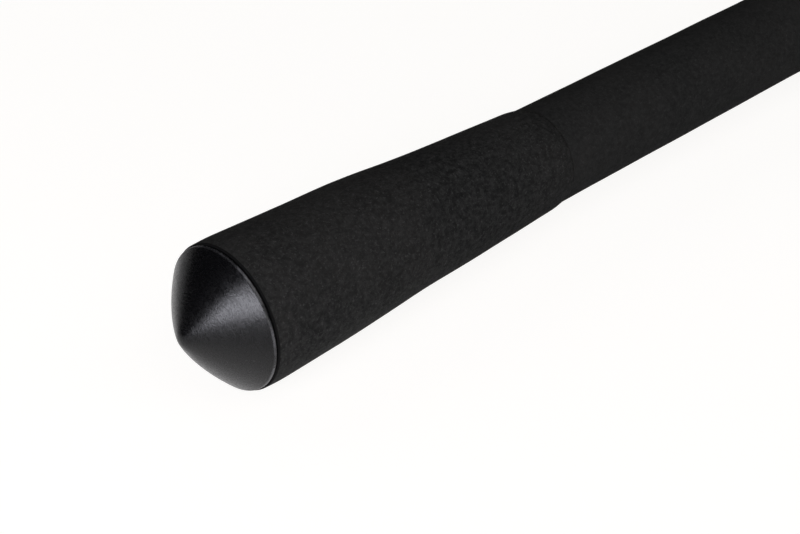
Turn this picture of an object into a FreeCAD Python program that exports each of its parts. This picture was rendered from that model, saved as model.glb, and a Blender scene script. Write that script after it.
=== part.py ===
import FreeCAD, Part
import math
import os

import Sketcher

# Devil stick: the flared baton that a juggler keeps in the air with two hand sticks.
#
# Frame: millimetres, +X along the stick, +Z up, origin at the middle, which is also the balance point.
# The stick is turned about X and both ends are alike. A piece that occurs at each end is drawn once in
# an end frame: x = 0 at the rim of the end cover, where the cap sits, and +x outwards to the cap's tip.
# The right one is shifted to +X and the left one is shifted to -X and turned half a turn about Z.

# Alias, value in millimetres (or degrees), and what it is.
DIMENSIONS = [
    ("stick_length", 640.0, "overall length, cap tip to cap tip"),
    ("cap_height", 12.7, "end of the cover to the cap's tip"),
    ("cover_thickness", 1.2, "wall of the rubber covers"),
    ("rim_edge_radius", 0.2, "rounding of the end cover's outer edge at the cap"),
    # Outside of the covers: distance from the end cover's rim, and radius there.
    ("rim_from_end", 0.0, "rim of the end cover"),
    ("rim_radius", 17.3, "radius at the rim"),
    ("collar_from_end", 4.0, "widest place"),
    ("collar_radius", 17.5, "radius at the widest place"),
    ("knee_from_end", 39.5, "where the thick end starts to fall away"),
    ("knee_radius", 16.2, "radius at the knee"),
    ("cone_from_end", 54.0, "where the straight cone starts"),
    ("cone_radius", 15.1, "radius at the start of the cone"),
    ("lap_from_end", 91.0, "start of the shaft cover, under the end cover"),
    ("step_from_end", 95.5, "where the end cover thins towards its edge"),
    ("step_radius", 13.2, "radius there"),
    ("edge_from_end", 99.0, "edge of the end cover on the shaft cover"),
    ("edge_thickness", 0.25, "thickness of that edge"),
    ("shaft_radius", 12.6, "radius of the shaft cover under the lap"),
    ("waist_radius", 12.0, "radius at the middle of the stick"),
    # Core.
    ("tube_radius", 8.0, "outside of the core tube"),
    ("bore_radius", 6.0, "bore of the core tube"),
    ("plug_length", 40.0, "length of each tube plug"),
    ("socket_depth", 24.0, "depth of the plug's hole for the cap's stem"),
    # End cap.
    ("stem_radius", 3.0, "stem of the cap"),
    ("stem_length", 22.0, "stem, from the rim inwards"),
    ("skirt_bore", 13.6, "inside radius of the cap's skirt"),
    ("neck_radius", 16.2, "neck between the shoulder and the rim"),
    ("neck_height", 0.35, "groove between the rim and the shoulder"),
    ("brim_radius", 16.95, "outside of the cap's shoulder"),
    ("brim_edge_radius", 0.08, "rounding of the shoulder's edge at the groove"),
    ("shoulder_height", 0.95, "rim to the corner between the shoulder and the dome's flank"),
    ("shoulder_radius", 0.8, "rounding of that corner"),
    ("flank_radius", 63.0, "curvature of the dome's flank, from the shoulder to the tip"),
    ("tip_radius", 4.0, "rounding of the dome's tip"),
    ("gate_radius", 0.3, "small flat that the mould's gate leaves on the tip"),
    ("hollow_at_stem", 9.1, "rim to the inside of the dome, beside the stem"),
    ("hollow_at_skirt", 1.5, "rim to the inside of the dome, at the skirt"),
]

SHEET = "Dimensions"
PARTS_FOLDER = "parts"

# The sketcher's own numbers: the origin point, the two axes, and the ends and centre of an edge.
AXIS_X = -1
AXIS_Y = -2
START = 1
END = 2
CENTRE = 3

FULL_TURN = 360.0
HALF_TURN = 180.0
ZERO = "0"
TOLERANCE = 1e-6
UP = FreeCAD.Vector(0, 0, 1)


def size(alias):
    """Expression for one cell of the sheet."""
    return f"{SHEET}.{alias}"


RIM = f"({size('stick_length')} / 2 - {size('cap_height')})"
COVER = size("cover_thickness")


def add_sheet(document):
    """Write the driving dimensions, one to a row: its name, its value and what it is."""
    sheet = document.addObject("Spreadsheet::Sheet", SHEET)
    for row, (alias, value, meaning) in enumerate(DIMENSIONS, start=1):
        sheet.set(f"A{row}", alias)
        sheet.set(f"B{row}", str(value))
        sheet.setAlias(f"B{row}", alias)
        sheet.set(f"C{row}", meaning)
    document.recompute()


def evaluate(item, expression):
    """Present value of an expression."""
    return float(item.evalExpression(expression))


def station(name, under=ZERO):
    """Corner of the end frame's outline, this far under the outside."""
    return f"-{size(name + '_from_end')}", f"{size(name + '_radius')} - {under}"


def lap_radius():
    """Outside radius of the end cover's cone over the start of the shaft cover."""
    drop = f"({size('cone_radius')} - {size('step_radius')})"
    run = f"({size('step_from_end')} - {size('cone_from_end')})"
    way = f"({size('lap_from_end')} - {size('cone_from_end')})"
    return f"({size('cone_radius')} - {drop} * {way} / {run})"


# Drawing ------------------------------------------------------------------------------------------


def origin_feature(body, role):
    """One of the body's own origin planes or axes."""
    return next(feature for feature in body.Origin.OriginFeatures if feature.Role == role)


def add_sketch(body, name, plane):
    """Empty sketch on one of the body's origin planes."""
    sketch = body.newObject("Sketcher::SketchObject", name)
    sketch.AttachmentSupport = (origin_feature(body, plane), [""])
    sketch.MapMode = "FlatFace"
    return sketch


def add_constraint(sketch, kind, *arguments, expression=None):
    """Add one constraint, and bind its value when an expression is given."""
    index = sketch.addConstraint(Sketcher.Constraint(kind, *arguments))
    if expression is not None:
        sketch.setExpression(f"Constraints[{index}]", expression)


def hold_point(sketch, edge, end, corner):
    """Bind one end of an edge to a corner: a pair of expressions, along and radius."""
    for kind, other_axis, expression in zip(("DistanceX", "DistanceY"), (AXIS_Y, AXIS_X), corner):
        value = evaluate(sketch, expression)
        if abs(value) < TOLERANCE:
            add_constraint(sketch, "PointOnObject", edge, end, other_axis)
        else:
            add_constraint(sketch, kind, AXIS_X, START, edge, end, value, expression=expression)


def draw_lines(sketch, corners, closed=True):
    """Straight lines from corner to corner, and back to the first one when closed."""
    places = [FreeCAD.Vector(*(evaluate(sketch, part) for part in corner)) for corner in corners]
    ends = places[1:] + places[:1] if closed else places[1:]
    lines = [sketch.addGeometry(Part.LineSegment(*pair), False) for pair in zip(places, ends)]
    followers = lines[1:] + lines[:1] if closed else lines[1:]
    for line, follower in zip(lines, followers):
        add_constraint(sketch, "Coincident", line, END, follower, START)
    for line, corner in zip(lines, corners):
        hold_point(sketch, line, START, corner)
    if not closed:
        hold_point(sketch, lines[-1], END, corners[-1])
    return lines


def revolve(body, sketch):
    """Turn a finished outline a full turn about X."""
    turned = body.newObject("PartDesign::Revolution", body.Label + "_turned")
    turned.Profile = sketch
    turned.ReferenceAxis = (sketch, ["H_Axis"])
    turned.Angle = FULL_TURN
    return turned


def mirror(body, feature):
    """Repeat a feature on the other side of the middle plane."""
    both = body.newObject("PartDesign::Mirrored", body.Label + "_both_halves")
    both.Originals = [feature]
    both.MirrorPlane = (origin_feature(body, "YZ_Plane"), [""])
    body.Tip = both
    return both


def round_edge(document, body, feature, edge, rounding_alias):
    """Round the circular edge at a place along the axis and a radius: a pair of expressions."""
    document.recompute()
    place, radius = (evaluate(feature, part) for part in edge)
    names = [f"Edge{number}" for number, found in enumerate(feature.Shape.Edges, start=1)
             if not found.Degenerated and isinstance(found.Curve, Part.Circle)
             and abs(found.Curve.Radius - radius) < TOLERANCE
             and abs(found.Curve.Center.x - place) < TOLERANCE]
    rounded = body.newObject("PartDesign::Fillet", f"{body.Label}_{rounding_alias}")
    rounded.Base = (feature, names)
    rounded.setExpression("Radius", size(rounding_alias))
    body.Tip = rounded
    return rounded


def turned_body(document, label, corners):
    """Body turned from one closed outline."""
    body = document.addObject("PartDesign::Body", label)
    outline = add_sketch(body, label + "_outline", "XZ_Plane")
    draw_lines(outline, corners)
    return body, revolve(body, outline)


def place_at_end(body, side):
    """Move a piece from the end frame to its end of the stick: side +1 or -1."""
    turn = 0.0 if side > 0 else HALF_TURN
    body.Placement = FreeCAD.Placement(FreeCAD.Vector(), FreeCAD.Rotation(UP, turn))
    body.setExpression("Placement.Base.x", f"{side} * {RIM}")


# Pieces -------------------------------------------------------------------------------------------


def core_tube(document):
    """Fibreglass tube that carries everything, from rim to rim."""
    body = document.addObject("PartDesign::Body", "core_tube")
    ring = add_sketch(body, "core_tube_ring", "YZ_Plane")
    for alias in ("tube_radius", "bore_radius"):
        radius = evaluate(ring, size(alias))
        circle = ring.addGeometry(Part.Circle(FreeCAD.Vector(), UP, radius), False)
        add_constraint(ring, "Coincident", circle, CENTRE, AXIS_X, START)
        add_constraint(ring, "Radius", circle, radius, expression=size(alias))
    tube = body.newObject("PartDesign::Pad", "core_tube_length")
    tube.Profile = ring
    tube.SideType = "Symmetric"
    tube.setExpression("Length", f"2 * {RIM}")


def tube_plug(document, name, side):
    """Dowel glued into the tube's end, with a blind hole that grips the cap's stem."""
    socket_floor = f"-{size('socket_depth')}"
    inner_end = f"-{size('plug_length')}"
    body, _ = turned_body(document, name, [
        (inner_end, ZERO),
        (inner_end, size("bore_radius")),
        (ZERO, size("bore_radius")),
        (ZERO, size("stem_radius")),
        (socket_floor, size("stem_radius")),
        (socket_floor, ZERO),
    ])
    place_at_end(body, side)


def end_hub(document, name, side):
    """Hard collar on the tube that gives the stick its thick end and seats the cap."""
    body, _ = turned_body(document, name, [
        (ZERO, size("tube_radius")),
        station("rim", COVER),
        station("collar", COVER),
        station("knee", COVER),
        station("cone", COVER),
        (f"-{size('cone_from_end')}", size("tube_radius")),
    ])
    place_at_end(body, side)


def taper_sleeve(document, name, side):
    """Foam cone between the hub and the waist sleeve."""
    lap = f"-{size('lap_from_end')}"
    body, _ = turned_body(document, name, [
        (f"-{size('cone_from_end')}", size("tube_radius")),
        station("cone", COVER),
        (lap, f"{lap_radius()} - {COVER}"),
        (lap, size("tube_radius")),
    ])
    place_at_end(body, side)


def end_cover(document, name, side):
    """Rubber cover of the thick end. Its thin edge laps over the shaft cover and makes the soft step."""
    lap = f"-{size('lap_from_end')}"
    edge = f"-{size('edge_from_end')}"
    body, turned = turned_body(document, name, [
        station("rim"),
        station("collar"),
        station("knee"),
        station("cone"),
        station("step"),
        (edge, f"{size('shaft_radius')} + {size('edge_thickness')}"),
        (edge, size("shaft_radius")),
        (lap, size("shaft_radius")),
        (lap, f"{lap_radius()} - {COVER}"),
        station("cone", COVER),
        station("knee", COVER),
        station("collar", COVER),
        station("rim", COVER),
    ])
    round_edge(document, body, turned, station("rim"), "rim_edge_radius")
    place_at_end(body, side)


def waist_sleeve(document):
    """Foam tube along the shaft, slightly thinner in the middle."""
    shaft_end = f"{RIM} - {size('lap_from_end')}"
    body, half = turned_body(document, "waist_sleeve", [
        (ZERO, size("tube_radius")),
        *shaft_outline(COVER),
        (shaft_end, size("tube_radius")),
    ])
    mirror(body, half)


def shaft_cover(document):
    """Rubber cover of the slim shaft, tucked under the end covers at both ends."""
    body, half = turned_body(document, "shaft_cover", shaft_outline() + shaft_outline(COVER)[::-1])
    mirror(body, half)


def shaft_outline(under=ZERO):
    """Corners from the middle to the shaft cover's end, this far under the outside."""
    return [
        (ZERO, f"{size('waist_radius')} - {under}"),
        (f"{RIM} - {size('edge_from_end')}", f"{size('shaft_radius')} - {under}"),
        (f"{RIM} - {size('lap_from_end')}", f"{size('shaft_radius')} - {under}"),
    ]


def end_cap(document, name, side):
    """Hollow pointed dome with a round tip, a rounded shoulder and a stem that plugs into the tube."""
    gate = size("cap_height"), size("gate_radius")
    stem_end = f"-{size('stem_length')}"
    brim = size("neck_height"), size("brim_radius")
    shoulder = size("shoulder_height"), size("brim_radius")
    body = document.addObject("PartDesign::Body", name)
    outline = add_sketch(body, name + "_outline", "XZ_Plane")
    lines = draw_lines(outline, [
        gate,
        (size("cap_height"), ZERO),
        (stem_end, ZERO),
        (stem_end, size("stem_radius")),
        (size("hollow_at_stem"), size("stem_radius")),
        (size("hollow_at_skirt"), size("skirt_bore")),
        (ZERO, size("skirt_bore")),
        (ZERO, size("neck_radius")),
        (size("neck_height"), size("neck_radius")),
        brim,
        shoulder,
    ], closed=False)
    draw_dome(outline, lines[0], lines[-1], gate, shoulder)
    turned = revolve(body, outline)
    rounded = round_edge(document, body, turned, shoulder, "shoulder_radius")
    round_edge(document, body, rounded, brim, "brim_edge_radius")
    place_at_end(body, side)


def draw_dome(sketch, gate_line, brim_line, gate, shoulder):
    """Close the cap's outline with two tangent arcs: the tip's, and the flank's down to the shoulder."""
    tip_radius, flank_radius = (evaluate(sketch, size(alias)) for alias in ("tip_radius", "flank_radius"))
    start, corner = (FreeCAD.Vector(*(evaluate(sketch, part) for part in place)) for place in (gate, shoulder))
    tip_centre = FreeCAD.Vector(start.x - math.sqrt(tip_radius**2 - start.y**2))
    flank_centre = common_centre(tip_centre, flank_radius - tip_radius, corner, flank_radius)
    tangent = heading(flank_centre, tip_centre)
    tip = draw_arc(sketch, tip_centre, tip_radius, heading(tip_centre, start), tangent)
    flank = draw_arc(sketch, flank_centre, flank_radius, tangent, heading(flank_centre, corner))
    add_constraint(sketch, "Coincident", tip, START, gate_line, START)
    add_constraint(sketch, "PointOnObject", tip, CENTRE, AXIS_X)
    add_constraint(sketch, "Radius", tip, tip_radius, expression=size("tip_radius"))
    add_constraint(sketch, "Tangent", tip, END, flank, START)
    add_constraint(sketch, "Coincident", flank, END, brim_line, END)
    add_constraint(sketch, "Radius", flank, flank_radius, expression=size("flank_radius"))


def common_centre(first, first_distance, second, second_distance):
    """The point at these distances from two others, on the left of the way from the first to the second."""
    way = second - first
    along = (first_distance**2 - second_distance**2 + way.Length**2) / (2 * way.Length)
    aside = math.sqrt(first_distance**2 - along**2)
    ahead = way / way.Length
    return first + ahead * along + UP.cross(ahead) * aside


def heading(start, end):
    """Angle of the way from one point to another, from the sketch's first axis."""
    return math.atan2(end.y - start.y, end.x - start.x)


def draw_arc(sketch, centre, radius, start, end):
    """Arc from one angle to another, anticlockwise."""
    return sketch.addGeometry(Part.ArcOfCircle(Part.Circle(centre, UP, radius), start, end), False)


# Checking and writing -----------------------------------------------------------------------------


def check(document):
    """Stop on any object that failed, and on any body that is not one valid solid."""
    for item in document.Objects:
        if {"Invalid", "Error"} & set(item.State):
            raise RuntimeError(f"{item.Label} failed: {item.State}")
    for body in bodies(document):
        shape = body.Shape
        if shape.isNull() or not shape.isValid() or len(shape.Solids) != 1:
            raise RuntimeError(f"{body.Label} is not one valid solid")


def bodies(document):
    """Every piece of the stick."""
    return [item for item in document.Objects if item.TypeId == "PartDesign::Body"]


def main():
    """Build, check and write every piece."""
    document = FreeCAD.newDocument("devil_stick")
    add_sheet(document)
    core_tube(document)
    waist_sleeve(document)
    shaft_cover(document)
    for name, side in (("left", -1), ("right", 1)):
        tube_plug(document, f"tube_plug_{name}", side)
        end_hub(document, f"end_hub_{name}", side)
        taper_sleeve(document, f"taper_sleeve_{name}", side)
        end_cover(document, f"end_cover_{name}", side)
        end_cap(document, f"end_cap_{name}", side)
    document.recompute()
    check(document)

    os.makedirs(PARTS_FOLDER, exist_ok=True)
    for body in bodies(document):
        body.Shape.exportStep(os.path.join(PARTS_FOLDER, f"{body.Label}.step"))
        print(f"{body.Label}: {body.Shape.Volume / 1000:.2f} cm3")


main()
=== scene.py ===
import math

import bmesh
import bpy
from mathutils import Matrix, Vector, noise


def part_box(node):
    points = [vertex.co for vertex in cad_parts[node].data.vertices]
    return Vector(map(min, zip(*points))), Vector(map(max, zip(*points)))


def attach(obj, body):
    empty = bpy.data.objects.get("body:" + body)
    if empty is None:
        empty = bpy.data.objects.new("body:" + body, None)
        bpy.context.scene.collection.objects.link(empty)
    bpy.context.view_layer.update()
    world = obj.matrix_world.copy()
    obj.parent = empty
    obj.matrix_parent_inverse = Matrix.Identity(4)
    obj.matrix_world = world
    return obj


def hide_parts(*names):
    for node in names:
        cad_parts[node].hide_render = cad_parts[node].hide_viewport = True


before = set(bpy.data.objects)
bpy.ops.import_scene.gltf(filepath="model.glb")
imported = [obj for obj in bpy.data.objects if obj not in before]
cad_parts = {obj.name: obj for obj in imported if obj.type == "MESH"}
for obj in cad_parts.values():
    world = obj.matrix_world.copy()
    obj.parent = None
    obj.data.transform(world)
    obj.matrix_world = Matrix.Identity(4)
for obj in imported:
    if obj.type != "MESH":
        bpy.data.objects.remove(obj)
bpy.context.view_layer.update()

# Devil stick, in metres: +X along the stick, +Z up, origin at its middle. Every piece rides on "root".
# The rubber covers are rebuilt here with soft corners and unevenness. The other pieces are
# the frame's own, with materials of their own.

MM = 0.001
ENDS = {"left": -1, "right": 1}

# Places that the frame gives.
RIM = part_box("end_cover_right")[1].x
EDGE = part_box("end_cover_right")[0].x
COLLAR_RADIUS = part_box("end_cover_right")[1].z
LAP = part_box("shaft_cover")[1].x
SHAFT_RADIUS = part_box("shaft_cover")[1].z
FLOOR = -COLLAR_RADIUS

# The end cover's outside, as in the design: distance from the rim, radius, and how softly it turns.
RIM_RADIUS = 17.3 * MM
CORNERS = [
    (4.0 * MM, 17.5 * MM, 2.5 * MM),
    (39.5 * MM, 16.2 * MM, 5.0 * MM),
    (54.0 * MM, 15.1 * MM, 6.0 * MM),
    (95.5 * MM, 13.2 * MM, 0.7 * MM),
]
EDGE_THICKNESS = 0.05 * MM
COVER_THICKNESS = 1.2 * MM
RIM_ROUNDING = 0.2 * MM
WAIST_RADIUS = 12.0 * MM

# The cover sits a little to one side over the hub's inner corner.
SWAY = 0.38 * MM
SWAY_FROM_RIM = 43.5 * MM
SWAY_LENGTH = 14.0 * MM
SWAY_ANGLE = math.radians(42.0)

# Slow and quick waviness of soft rubber over foam: the size of the lumps and their height, and which
# part of the noise each cover takes.
SLOW_LUMPS = 14.0 * MM
SLOW_HEIGHT = 0.06 * MM
QUICK_LUMPS = 4.0 * MM
QUICK_HEIGHT = 0.015 * MM
END_SEED = 3.7
SHAFT_SEED = 8.1

# Mesh: vertices round the stick, spacing of its rings, and rings in the rim's rounding.
AROUND = 192
END_STEP = 0.5 * MM
SHAFT_STEP = 1.5 * MM
ARC_STEPS = 5

# Rubber: the lows and highs of its mottle, worn patches, dust, and painted shade at the cap, a black band
# on its rim that widens the groove's shade, with how far that reaches.
RUBBER_LOWS = (0.0075, 0.0077, 0.0076)
RUBBER_HIGHS = (0.0330, 0.0333, 0.0322)
RUBBER_WORN = (0.036, 0.034, 0.032)
RUBBER_DUST = (0.098, 0.096, 0.094)
RUBBER_GROOVE_SHADE = (0.002, 0.002, 0.002)
GROOVE_SHADE_REACH = 0.5 * MM

# Cap: its plastic, its specks of dust and a painted highlight, pale, on its shoulder.
CAP_BLACK = (0.0030, 0.0030, 0.0034)
CAP_DUST = (0.030, 0.029, 0.028)
CAP_PAINTED_HIGHLIGHT = (0.115, 0.115, 0.120)

# The cap's shoulder carries a painted highlight, pale patches from this far over the rim: where it starts,
# is full, fades and ends.
SHOULDER_HIGHLIGHT = (0.45 * MM, 0.60 * MM, 0.85 * MM, 1.20 * MM)

# Floor: its reach from the middle, the size of its faint patches, their two colours as the stick is lit
# by them and as the camera is shown them, and its glow for the camera.
FLOOR_REACH = 4.0
FLOOR_PATCHES = 0.5
FLOOR_LIGHTING = ((0.80, 0.79, 0.775), (0.82, 0.81, 0.795))
FLOOR_SHOWN = ((0.24, 0.236, 0.232), (0.26, 0.256, 0.252))
FLOOR_GLOW = 0.90
FLOOR_GLOW_COLOUR = (1.0, 0.99, 0.975, 1.0)

# The pool of light that the stick sees around the cap: how far behind the axis, how wide at full glow,
# and where it has faded out.
POOL_GLOW = 0.42
POOL_BEHIND = 28.0 * MM
POOL_RADIUS = 25.0 * MM
POOL_REACH = 100.0 * MM

# Light: colours, and the centre of the left rim, which the near lamps face.
WHITE = (1.0, 1.0, 1.0)
COOL = (0.91, 0.91, 1.0)
WARM = (1.0, 0.99, 0.97)
LEFT_RIM = Vector((-RIM, 0.0, 0.0))
MIDDLE = Vector((0.0, 0.0, 0.0))

# Camera: its direction, its lens, and where the left rim's centre lies from it (right, above, ahead).
VIEW_AZIMUTH = -44.4
VIEW_ELEVATION = 33.0
LENS = 85.5
SENSOR = 36.0
RIM_FROM_CAMERA = (-37.45 * MM, -10.92 * MM, 409.5 * MM)

# Sockets of Blender's colour mix node.
MIX_SHARE = 0
MIX_COLOURS = (6, 7)
MIX_RESULT = 2


# Covers -------------------------------------------------------------------------------------------


def hinge(distance, softness):
    """0 before a corner and the distance past it after, with a soft turn between."""
    return 0.5 * (distance + math.sqrt(distance * distance + softness * softness))


def end_outline(from_rim):
    """Outside radius of the end cover: straight stretches joined by soft turns."""
    stops = [(0.0, RIM_RADIUS, 0.0)] + CORNERS + [(RIM - EDGE, SHAFT_RADIUS + EDGE_THICKNESS, 0.0)]
    slopes = [(b[1] - a[1]) / (b[0] - a[0]) for a, b in zip(stops, stops[1:])]
    radius = RIM_RADIUS + slopes[0] * from_rim
    for (place, _, softness), before, after in zip(CORNERS, slopes, slopes[1:]):
        radius += (after - before) * hinge(from_rim - place, softness)
    return radius


def shaft_outline(x):
    """Outside radius of the shaft cover at x."""
    share = min(abs(x) / EDGE, 1.0)
    return WAIST_RADIUS + (SHAFT_RADIUS - WAIST_RADIUS) * share


def unevenness(x, angle, seed):
    """Waviness of the rubber at a place: a few hundredths of a millimetre."""
    place = Vector((x, COLLAR_RADIUS * math.sin(angle), COLLAR_RADIUS * math.cos(angle)))
    offset = Vector((seed, 2.0 * seed, -seed))
    slow = noise.noise(place / SLOW_LUMPS + offset)
    quick = noise.noise(place / QUICK_LUMPS - offset)
    return SLOW_HEIGHT * slow + QUICK_HEIGHT * quick


def sway(from_rim, angle):
    """How far the cover stands out on one side, and lies closer on the other, near the hub's corner."""
    along = (from_rim - SWAY_FROM_RIM) / SWAY_LENGTH
    return SWAY * math.exp(-along * along) * math.cos(angle - SWAY_ANGLE)


def turned_piece(name, rings, relief):
    """Closed mesh of revolution from a loop of rings: place, radius and share of the relief."""
    vertices = []
    for x, radius, share in rings:
        for step in range(AROUND):
            angle = math.tau * step / AROUND
            lifted = radius + (share * relief(x, angle) if share else 0.0)
            vertices.append((x, lifted * math.sin(angle), lifted * math.cos(angle)))
    faces = []
    for ring in range(len(rings)):
        here = ring * AROUND
        there = (ring + 1) % len(rings) * AROUND
        for step in range(AROUND):
            following = (step + 1) % AROUND
            faces.append((here + step, here + following, there + following, there + step))
    mesh = bpy.data.meshes.new(name)
    mesh.from_pydata(vertices, [], faces)
    shell = bmesh.new()
    shell.from_mesh(mesh)
    bmesh.ops.recalc_face_normals(shell, faces=shell.faces)
    for face in shell.faces:
        face.smooth = True
    shell.to_mesh(mesh)
    shell.free()
    piece = bpy.data.objects.new(name, mesh)
    bpy.context.scene.collection.objects.link(piece)
    return piece


def steps(start, stop, spacing):
    """Evenly spaced places from start to stop, both included, no further apart than spacing."""
    count = max(1, math.ceil(abs(stop - start) / spacing))
    return [start + (stop - start) * i / count for i in range(count + 1)]


def rim_rounding():
    """Rings of the rounded edge at the cap, from its face to its outside."""
    rings = []
    for step in range(ARC_STEPS):
        turn = math.pi / 2 * step / ARC_STEPS
        from_rim = RIM_ROUNDING * (1 - math.cos(turn))
        radius = end_outline(RIM_ROUNDING) - RIM_ROUNDING * (1 - math.sin(turn))
        rings.append((from_rim, radius, step / ARC_STEPS))
    return rings


def end_cover(name, side):
    """Cover of one thick end, from the rim at the cap to the thin edge on the shaft."""
    length = RIM - EDGE
    lap = RIM - LAP
    rings = rim_rounding()
    rings += [(place, end_outline(place), 1.0) for place in steps(RIM_ROUNDING, length, END_STEP)]
    rings += [(length, SHAFT_RADIUS, 0.0), (lap, SHAFT_RADIUS, 0.0)]
    inside = [lap] + [corner[0] for corner in reversed(CORNERS) if corner[0] < lap] + [0.0]
    rings += [(place, end_outline(place) - COVER_THICKNESS, 0.0) for place in inside]

    def relief(x, angle):
        return unevenness(x, angle, END_SEED * side) + sway(RIM - abs(x), angle)

    placed = [(side * (RIM - place), radius, share) for place, radius, share in rings]
    return turned_piece(name, placed, relief)


def shaft_cover(name):
    """Cover of the slim shaft, tucked under both end covers."""
    outside = [(x, shaft_outline(x), float(abs(x) < EDGE)) for x in steps(-LAP, LAP, SHAFT_STEP)]
    inside = [(x, shaft_outline(x) - COVER_THICKNESS, 0.0) for x in (LAP, EDGE, 0.0, -EDGE, -LAP)]
    return turned_piece(name, outside + inside, lambda x, angle: unevenness(x, angle, SHAFT_SEED))


# Materials ----------------------------------------------------------------------------------------


class Finish:
    """A node material: one Principled shader and the textures that feed it, in object space."""

    def __init__(self, name):
        self.material = bpy.data.materials.new(name)
        self.material.use_nodes = True
        self.tree = self.material.node_tree
        self.shader = self.tree.nodes["Principled BSDF"]
        self.place = self.tree.nodes.new("ShaderNodeTexCoord").outputs["Object"]

    def link(self, output, node, socket):
        """Connect an output to a node's socket, by its name or number."""
        self.tree.links.new(output, node.inputs[socket])

    def feed(self, output, socket):
        """Drive a socket of the shader."""
        self.link(output, self.shader, socket)

    def set(self, **values):
        """Constants on the shader's own sockets; underscores stand for spaces."""
        for socket, value in values.items():
            self.shader.inputs[socket.replace("_", " ")].default_value = value

    def stretched(self, x, y, z):
        """Object space, scaled along each axis."""
        node = self.tree.nodes.new("ShaderNodeMapping")
        node.inputs["Scale"].default_value = (x, y, z)
        self.link(self.place, node, "Vector")
        return node.outputs["Vector"]

    def noise(self, grain, detail=3.0, roughness=0.55, distortion=0.0, place=None):
        """Noise with lumps of about `grain` metres."""
        node = self.tree.nodes.new("ShaderNodeTexNoise")
        self.link(place or self.place, node, "Vector")
        node.inputs["Scale"].default_value = 1.0 / grain
        node.inputs["Detail"].default_value = detail
        node.inputs["Roughness"].default_value = roughness
        node.inputs["Distortion"].default_value = distortion
        return node.outputs["Fac"]

    def cells(self, grain, feature="F1"):
        """Distance in a Voronoi pattern with cells of about `grain` metres."""
        node = self.tree.nodes.new("ShaderNodeTexVoronoi")
        node.feature = feature
        self.link(self.place, node, "Vector")
        node.inputs["Scale"].default_value = 1.0 / grain
        return node.outputs["Distance"]

    def distance(self, centre):
        """Distance in object space from a point."""
        node = self.tree.nodes.new("ShaderNodeVectorMath")
        node.operation = "DISTANCE"
        self.link(self.place, node, 0)
        node.inputs[1].default_value = centre
        return node.outputs["Value"]

    def off_centre(self):
        """Distance along the stick from its middle."""
        node = self.tree.nodes.new("ShaderNodeSeparateXYZ")
        self.link(self.place, node, "Vector")
        return self.combine("ABSOLUTE", node.outputs["X"], 0.0)

    def spread(self, value, low, high, to_low, to_high):
        """Map a range of a texture to a range of values, with soft ends."""
        node = self.tree.nodes.new("ShaderNodeMapRange")
        node.interpolation_type = "SMOOTHSTEP"
        self.link(value, node, "Value")
        ends = {"From Min": low, "From Max": high, "To Min": to_low, "To Max": to_high}
        for socket, number in ends.items():
            node.inputs[socket].default_value = number
        return node.outputs["Result"]

    def combine(self, operation, first, second):
        """Combine two values, each an output or a number."""
        node = self.tree.nodes.new("ShaderNodeMath")
        node.operation = operation
        for index, value in enumerate((first, second)):
            if isinstance(value, (int, float)):
                node.inputs[index].default_value = value
            else:
                self.link(value, node, index)
        return node.outputs["Value"]

    def mix(self, share, first, second):
        """Blend two colours, each an output or an RGB tuple."""
        node = self.tree.nodes.new("ShaderNodeMix")
        node.data_type = "RGBA"
        self.link(share, node, MIX_SHARE)
        for index, colour in zip(MIX_COLOURS, (first, second)):
            if isinstance(colour, tuple):
                node.inputs[index].default_value = (*colour, 1.0)
            else:
                self.link(colour, node, index)
        return node.outputs[MIX_RESULT]

    def bump(self, height, depth, strength, under=None):
        """Raise the surface by a texture: `depth` metres from its lowest to its highest."""
        node = self.tree.nodes.new("ShaderNodeBump")
        node.inputs["Strength"].default_value = strength
        node.inputs["Distance"].default_value = depth
        self.link(height, node, "Height")
        if under is not None:
            self.link(under, node, "Normal")
        self.feed(node.outputs["Normal"], "Normal")
        return node.outputs["Normal"]


def cover_rubber(name, coarseness):
    """Matte black rubber: mottled, finely pitted, a little dust in the grain, and painted shade at the cap:
    a black band on the rim, without dust.
    A coarseness of 1 is the end covers' grain, and less is smoother."""
    finish = Finish(name)
    mottle = finish.noise(1.3 * MM, detail=5.0, roughness=0.8)
    pits = finish.noise(0.45 * MM, detail=3.0, roughness=0.7)
    specks = finish.noise(0.6 * MM, detail=2.0, roughness=0.8)
    dust = finish.spread(specks, 0.56, 0.70, 0.0, 0.36 * coarseness)
    wear = finish.spread(finish.noise(30.0 * MM, detail=3.0), 0.35, 0.70, 0.0, 0.35)
    light_side = finish.spread(mottle, 0.5 - 0.15 / coarseness, 0.5 + 0.18 / coarseness, 0.0, 1.0)
    ground = finish.mix(light_side, RUBBER_LOWS, RUBBER_HIGHS)
    worn = finish.mix(wear, ground, RUBBER_WORN)
    dusty = finish.mix(dust, worn, RUBBER_DUST)
    # Painted shade: the rim's last half millimetre is blackened and stands for the shade of the groove at
    # the cap.
    groove_shade = finish.spread(finish.off_centre(), RIM - GROOVE_SHADE_REACH, RIM - 0.5 * GROOVE_SHADE_REACH, 0.0, 1.0)
    finish.feed(finish.mix(groove_shade, dusty, RUBBER_GROOVE_SHADE), "Base Color")
    finish.feed(finish.spread(pits, 0.3, 0.7, 0.90, 0.80), "Roughness")
    finish.set(Specular_IOR_Level=0.18)
    coarse = finish.bump(mottle, 0.12 * MM, 0.6 * coarseness)
    finish.bump(pits, 0.06 * MM, 0.9 * coarseness, under=coarse)
    return finish.material


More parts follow.
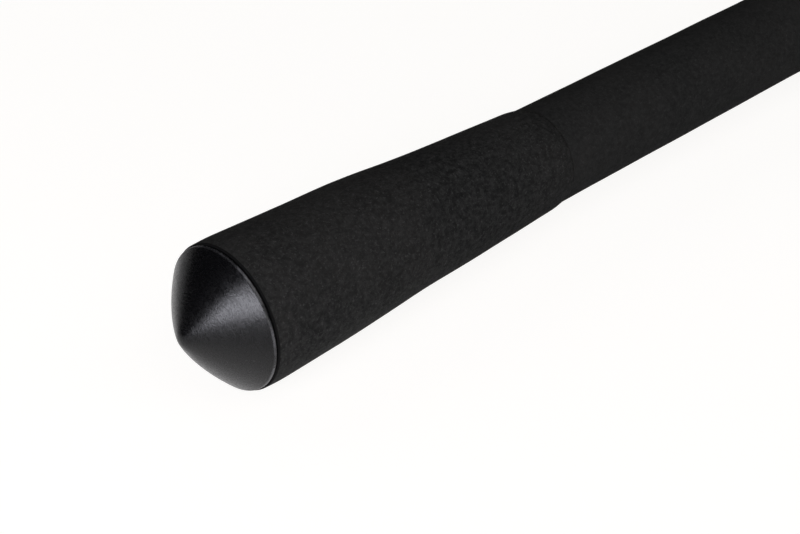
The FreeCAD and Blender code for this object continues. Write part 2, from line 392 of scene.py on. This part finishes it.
def cap_plastic():
    """Satin black moulded plastic with fine scuffs, a painted highlight on the shoulder and a few specks of
    dust.
    """
    finish = Finish("cap_plastic_satin")
    short_along = finish.stretched(2.4, 0.7, 0.7)
    scuffs = finish.noise(1.3 * MM, detail=2.5, roughness=0.6, distortion=2.5, place=short_along)
    scratches = finish.cells(2.6 * MM, feature="DISTANCE_TO_EDGE")
    hairlines = finish.spread(scratches, 0.0, 0.012, 1.0, 0.0)
    specks = finish.spread(finish.cells(3.1 * MM), 0.04, 0.07, 1.0, 0.0)
    dusty = finish.mix(specks, CAP_BLACK, CAP_DUST)
    # Painted highlight: pale patches on the shoulder stand for the shine along its edge.
    finish.feed(finish.mix(painted_shoulder_highlight(finish, scuffs), dusty, CAP_PAINTED_HIGHLIGHT), "Base Color")
    smooth = finish.spread(scuffs, 0.35, 0.65, 0.21, 0.32)
    finish.feed(finish.combine("MAXIMUM", smooth, finish.combine("MULTIPLY", specks, 0.7)), "Roughness")
    finish.set(IOR=1.5)
    fine = finish.bump(scuffs, 0.036 * MM, 1.0)
    finish.bump(hairlines, -0.005 * MM, 0.5, under=fine)
    return finish.material


def painted_shoulder_highlight(finish, scuffs):
    """Share of the painted highlight: pale patches in a narrow band on the cap's shoulder."""
    start, full, fading, end = (RIM + height for height in SHOULDER_HIGHLIGHT)
    from_middle = finish.off_centre()
    rising = finish.spread(from_middle, start, full, 0.0, 1.0)
    falling = finish.spread(from_middle, fading, end, 1.0, 0.0)
    patches = finish.spread(finish.noise(11.0 * MM, detail=2.0), 0.42, 0.58, 0.25, 1.0)
    uneven = finish.spread(scuffs, 0.25, 0.60, 0.5, 1.0)
    band = finish.combine("MULTIPLY", rising, falling)
    return finish.combine("MULTIPLY", band, finish.combine("MULTIPLY", patches, uneven))


def fibreglass():
    """Pale pultruded fibreglass: long fibres along the tube under a thin resin skin."""
    finish = Finish("fibreglass_pultruded")
    fibres = finish.noise(0.35 * MM, detail=3.0, place=finish.stretched(0.02, 1.0, 1.0))
    finish.feed(finish.mix(fibres, (0.50, 0.47, 0.36), (0.80, 0.78, 0.68)), "Base Color")
    finish.feed(finish.spread(fibres, 0.3, 0.7, 0.28, 0.42), "Roughness")
    finish.bump(fibres, 0.02 * MM, 0.4)
    return finish.material


def dowel_wood():
    """Raw beech dowel with its grain along the stick."""
    finish = Finish("dowel_wood_raw")
    grain = finish.noise(0.9 * MM, detail=5.0, distortion=0.6, place=finish.stretched(0.08, 1.0, 1.0))
    pores = finish.noise(0.25 * MM, detail=2.0, place=finish.stretched(0.10, 1.0, 1.0))
    finish.feed(finish.mix(grain, (0.42, 0.26, 0.13), (0.66, 0.47, 0.28)), "Base Color")
    finish.feed(finish.spread(pores, 0.3, 0.7, 0.55, 0.75), "Roughness")
    finish.bump(pores, 0.05 * MM, 0.5)
    return finish.material


def hub_plastic():
    """Dark structural foam with a cast, faintly swirled skin."""
    finish = Finish("hub_plastic_cast")
    swirl = finish.noise(6.0 * MM, detail=4.0, distortion=1.2)
    bubbles = finish.cells(1.1 * MM)
    finish.feed(finish.mix(swirl, (0.020, 0.020, 0.022), (0.040, 0.040, 0.043)), "Base Color")
    finish.feed(finish.spread(swirl, 0.3, 0.7, 0.5, 0.7), "Roughness")
    finish.bump(bubbles, 0.05 * MM, 0.4)
    return finish.material


def sleeve_foam():
    """Closed-cell foam: fine cells, very matte."""
    finish = Finish("sleeve_foam_cells")
    foam_cells = finish.cells(0.6 * MM)
    blotches = finish.noise(9.0 * MM, detail=3.0)
    finish.feed(finish.mix(blotches, (0.022, 0.022, 0.024), (0.036, 0.036, 0.039)), "Base Color")
    finish.feed(finish.spread(foam_cells, 0.0, 0.6, 0.80, 0.95), "Roughness")
    finish.bump(foam_cells, 0.15 * MM, 0.7)
    return finish.material


# Stage --------------------------------------------------------------------------------------------


def floor():
    """Pale floor at the stick's underside. The camera sees it evenly lit; its light on the stick comes
    mostly from a pool around the cap."""
    mesh = bpy.data.meshes.new("floor")
    corners = [(-1, -1), (1, -1), (1, 1), (-1, 1)]
    mesh.from_pydata([(x * FLOOR_REACH, y * FLOOR_REACH, FLOOR) for x, y in corners], [], [(0, 1, 2, 3)])
    board = bpy.data.objects.new("floor", mesh)
    bpy.context.scene.collection.objects.link(board)
    paper = Finish("floor_paper")
    seen = paper.tree.nodes.new("ShaderNodeLightPath").outputs["Is Camera Ray"]
    patches = paper.noise(FLOOR_PATCHES)
    lighting = paper.mix(patches, *FLOOR_LIGHTING)
    shown = paper.mix(patches, *FLOOR_SHOWN)
    paper.feed(paper.mix(seen, lighting, shown), "Base Color")
    from_pool = paper.distance((-RIM, POOL_BEHIND, FLOOR))
    pool = paper.spread(from_pool, POOL_RADIUS, POOL_REACH, POOL_GLOW, 0.0)
    glow = paper.combine("MULTIPLY", seen, FLOOR_GLOW)
    paper.feed(paper.combine("MAXIMUM", pool, glow), "Emission Strength")
    paper.set(Roughness=0.9, Specular_IOR_Level=0.0, Emission_Color=FLOOR_GLOW_COLOUR)
    mesh.materials.append(paper.material)


def backdrop():
    """Pale surround for the camera only, so that it doesn't fill the gloss."""
    world = bpy.data.worlds.new("surround")
    bpy.context.scene.world = world
    world.use_nodes = True
    sky = world.node_tree.nodes["Background"]
    sky.inputs["Color"].default_value = (*WHITE, 1.0)
    sky.inputs["Strength"].default_value = 1.0
    world.cycles_visibility.diffuse = False
    world.cycles_visibility.glossy = False


def softbox(name, toward, distance, width, height, radiance, colour=WHITE, target=MIDDLE, mirrored=True):
    """Rectangular light of a given radiance, seen from the target in the direction `toward`. One that
    isn't mirrored makes no reflections."""
    lamp = bpy.data.lights.new(name, "AREA")
    lamp.shape = "RECTANGLE"
    lamp.size = width
    lamp.size_y = height
    lamp.energy = radiance * math.pi * width * height
    lamp.color = colour
    holder = bpy.data.objects.new(name, lamp)
    bpy.context.scene.collection.objects.link(holder)
    away = Vector(toward).normalized()
    holder.location = target + away * distance
    holder.rotation_euler = away.to_track_quat("Z", "Y").to_euler()
    holder.visible_glossy = mirrored


def camera():
    """Long lens near the left cap, looking along the stick and down on it."""
    azimuth = math.radians(VIEW_AZIMUTH)
    elevation = math.radians(VIEW_ELEVATION)
    forward = Vector((-math.sin(azimuth) * math.cos(elevation), math.cos(azimuth) * math.cos(elevation),
                      -math.sin(elevation)))
    right = Vector((math.cos(azimuth), math.sin(azimuth), 0.0))
    up = right.cross(forward)
    lens = bpy.data.cameras.new("camera")
    lens.lens = LENS
    lens.sensor_width = SENSOR
    holder = bpy.data.objects.new("camera", lens)
    bpy.context.scene.collection.objects.link(holder)
    across, above, ahead = RIM_FROM_CAMERA
    holder.location = LEFT_RIM - right * across - up * above - forward * ahead
    holder.rotation_euler = forward.to_track_quat("-Z", "Y").to_euler()
    bpy.context.scene.camera = holder


# The model ----------------------------------------------------------------------------------------


def soft_covers():
    """The three rubber covers, in place of the frame's."""
    coarse = cover_rubber("cover_rubber_coarse", coarseness=1.0)
    fine = cover_rubber("cover_rubber_fine", coarseness=0.45)
    covers = {f"end_cover_{name}": end_cover(f"end_cover_{name}_soft", side) for name, side in ENDS.items()}
    covers["shaft_cover"] = shaft_cover("shaft_cover_soft")
    for node, piece in covers.items():
        piece.data.materials.append(fine if node == "shaft_cover" else coarse)
        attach(piece, "root")
        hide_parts(node)


def finish_nodes():
    """Materials for the frame's own pieces, by the start of their names."""
    finishes = {
        "end_cap": cap_plastic(),
        "core_tube": fibreglass(),
        "tube_plug": dowel_wood(),
        "end_hub": hub_plastic(),
        "taper_sleeve": sleeve_foam(),
    }
    finishes["waist_sleeve"] = finishes["taper_sleeve"]
    for node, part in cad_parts.items():
        for kind, material in finishes.items():
            if node.startswith(kind):
                for slot in part.material_slots:
                    slot.material = material


def lamps():
    """A cool key and a low side light at the near cap, and two large soft ones over the whole stick."""
    near = {"distance": 0.8, "target": LEFT_RIM}
    wide = {"distance": 1.8, "width": 3.0, "height": 1.4}
    softbox("key", (-0.86, -0.38, 0.34), width=0.66, height=0.34, radiance=7.1, colour=COOL, **near)
    softbox("side", (-0.33, -0.91, 0.22), width=0.34, height=0.10, radiance=6.0, colour=WARM, **near)
    softbox("top", (0.0, -0.7, 1.0), radiance=0.66, colour=WARM, **wide)
    softbox("fill", (0.1, 1.0, 0.8), radiance=0.4, mirrored=False, **wide)


soft_covers()
finish_nodes()
floor()
backdrop()
lamps()
camera()
bpy.context.scene.view_settings.view_transform = "Standard"
